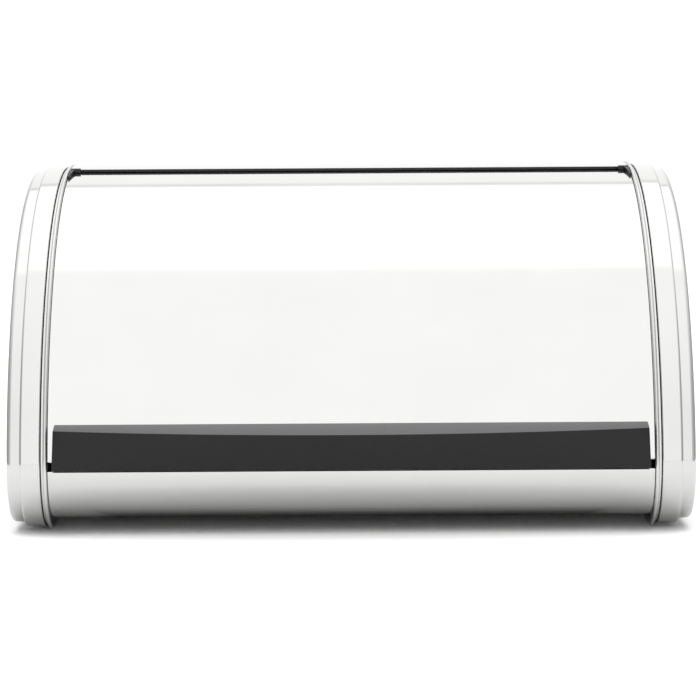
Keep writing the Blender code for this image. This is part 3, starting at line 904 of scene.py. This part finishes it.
def dress_cad_nodes():
    """Give the CAD nodes that stay in view their finishes."""
    finishes = {"side_liner": ZINC_SHEET, "pivot_washer": NYLON, "lid_buffer": RUBBER,
                "open_stop": RUBBER, "foot": RUBBER, "handle_backing": GREY_PP}
    for name, node in frame["nodes"].items():
        for start, material in finishes.items():
            if name.startswith(start):
                node.data.materials.clear()
                node.data.materials.append(material)


# ---------------------------------------------------------------- studio, in metres

def make_floor():
    """A roll of matt white paper. Near the bin it carries a painted shadow that only reflections
    show: for glossy rays its colour darkens towards the bin, while the eye sees it evenly white."""
    clear_selection()
    bpy.ops.mesh.primitive_plane_add(size=1.0, location=(0, 0, 0))
    floor = bpy.context.object
    floor.scale = (1.6, 12.0, 1.0)
    name_new("studio_floor")
    material, tree, shader, place = new_material("matt_white_paper", Roughness=0.9)
    shader.inputs["Specular IOR Level"].default_value = 0.0
    split = add(tree, "SeparateXYZ", {"Vector": place})
    # How far a place is outside the bin's footprint; less than nothing under the bin.
    half_width, half_depth, middle = 0.165, 0.159, 0.005
    across = add(tree, "Math", {0: split.outputs["X"]}, operation="ABSOLUTE")
    beside = add(tree, "Math", {0: across.outputs[0], 1: half_width}, operation="SUBTRACT")
    along = add(tree, "Math", {0: split.outputs["Y"], 1: middle}, operation="SUBTRACT")
    reach = add(tree, "Math", {0: along.outputs[0]}, operation="ABSOLUTE")
    before = add(tree, "Math", {0: reach.outputs[0], 1: half_depth}, operation="SUBTRACT")
    clear = add(tree, "Math", {0: beside.outputs[0], 1: before.outputs[0]}, operation="MAXIMUM")
    share = add(tree, "MapRange", {"Value": clear.outputs[0], "From Min": -0.03,
                                   "From Max": 0.27})
    # Painted shadow: a grey that darkens towards the bin's footprint, used for reflected rays
    # only.
    shade = add(tree, "ValToRGB", {"Fac": share.outputs["Result"]})
    set_stops(shade, [(0.0, 0.25), (0.03, 0.5), (0.045, 0.57), (0.1, 0.63), (0.18, 0.68),
                      (0.4, 0.70), (1.0, 0.69)])
    mirrored = add(tree, "LightPath").outputs["Is Glossy Ray"]
    paper_with_painted_shadow = add(tree, "Mix", {"Factor": mirrored}, data_type="RGBA")
    paper_with_painted_shadow.inputs["A"].default_value = linear("#FBFBFB")
    tree.links.new(shade.outputs["Color"], paper_with_painted_shadow.inputs["B"])
    tree.links.new(paper_with_painted_shadow.outputs["Result"], shader.inputs["Base Color"])
    floor.data.materials.append(material)


def set_stops(ramp, levels):
    """Set a colour ramp to greys, each a position and a level."""
    stops = ramp.color_ramp.elements
    while len(stops) < len(levels):
        stops.new(0.5)
    for stop, (position, level) in zip(stops, levels):
        stop.position = position
        stop.color = (level, level, level, 1)


def make_studio():
    """A white room as a sky: bright in front and above, greyer at the sides and behind."""
    world = bpy.data.worlds.new("studio")
    world.use_nodes = True
    bpy.context.scene.world = world
    tree = world.node_tree
    tree.nodes.clear()
    way = add(tree, "TexCoord").outputs["Generated"]
    split = add(tree, "SeparateXYZ", {"Vector": way})
    back = add(tree, "Math", {0: split.outputs["Y"], 1: -1.0}, operation="MULTIPLY")
    angle = add(tree, "Math", {0: split.outputs["Z"], 1: back.outputs[0]}, operation="ARCTAN2")
    share = add(tree, "Math", {0: angle.outputs[0], 1: 0.5 / math.pi, 2: 0.5},
                operation="MULTIPLY_ADD")
    ramp = add(tree, "ValToRGB", {"Fac": share.outputs[0]})
    levels = [(-180, 0.60), (-90, 0.5), (0, 0.875), (84.5, 0.88), (85.5, 1.0), (139.6, 1.0),
              (140.4, 0.62), (141.8, 0.62), (142.8, 0.82), (165, 0.78), (180, 0.72)]
    set_stops(ramp, [(degrees / 360 + 0.5, level) for degrees, level in levels])
    across = add(tree, "Math", {0: split.outputs["X"]}, operation="ABSOLUTE")
    sides = add(tree, "ValToRGB", {"Fac": across.outputs[0]})
    set_stops(sides, [(0.12, 1.0), (0.18, 0.9), (0.26, 0.78), (0.5, 0.5), (1.0, 0.34)])
    high = add(tree, "MapRange", {"Value": split.outputs["Z"], "From Min": 0.45,
                                  "From Max": 0.95, "To Min": 1.0, "To Max": 0.35})
    both = add(tree, "Mix", {"Factor": high.outputs["Result"]}, data_type="RGBA",
               blend_type="MULTIPLY")
    tree.links.new(ramp.outputs["Color"], both.inputs["A"])
    tree.links.new(sides.outputs["Color"], both.inputs["B"])
    room = add(tree, "Background", {"Color": both.outputs["Result"], "Strength": 1.45})
    white = add(tree, "Background", {"Color": (1, 1, 1, 1), "Strength": 1.1})
    seen = add(tree, "LightPath").outputs["Is Camera Ray"]
    mixed = add(tree, "MixShader", {0: seen, 1: room.outputs[0], 2: white.outputs[0]})
    add(tree, "OutputWorld", {"Surface": mixed.outputs[0]})
    add_softbox("overhead_softbox", (0, -0.6, 3.0), 0, (3.6, 3.0), 75, 180)
    add_softbox("front_softbox", (0, -2.4, 0.35), 90, (3.0, 0.6), 2.5, 40)


def add_softbox(name, place, tilt, size, energy, beam):
    """A soft lamp that the polished steel doesn't mirror; its tilt and beam in degrees."""
    bpy.ops.object.light_add(type="AREA", location=place, rotation=(math.radians(tilt), 0, 0))
    lamp = bpy.context.object
    lamp.name = name
    lamp.data.shape = "RECTANGLE"
    lamp.data.size, lamp.data.size_y = size
    lamp.data.energy = energy
    lamp.data.spread = math.radians(beam)
    lamp.visible_glossy = False
    lamp.visible_camera = False


def make_camera():
    """A long lens a little above the bin, looking down by five degrees."""
    place, lens, sensor = (-0.0003, -1.6912, 0.2387), 143.8, 36.0
    tilt = Matrix.Rotation(math.radians(90 - 5.0), 3, "X")
    roll = Matrix.Rotation(math.radians(-0.35), 3, "Z")
    bpy.ops.object.camera_add(location=place)
    camera = bpy.context.object
    camera.name = "camera"
    camera.rotation_mode = "QUATERNION"
    camera.rotation_quaternion = (tilt @ roll).to_quaternion()
    camera.data.lens = lens
    camera.data.sensor_width = sensor
    camera.data.clip_start = 0.05
    camera.data.clip_end = 100.0
    bpy.context.scene.camera = camera


make_rear_shell()
make_base_tray()
make_end_caps()
make_rim_beads()
make_edge_seal()
make_seal_ends()
make_lid_sheet()
make_lid_arms()
make_lid_handle()
make_fastenings()
dress_cad_nodes()
make_floor()
clear_selection()
make_studio()
make_camera()
bpy.context.scene.view_settings.view_transform = "Standard"
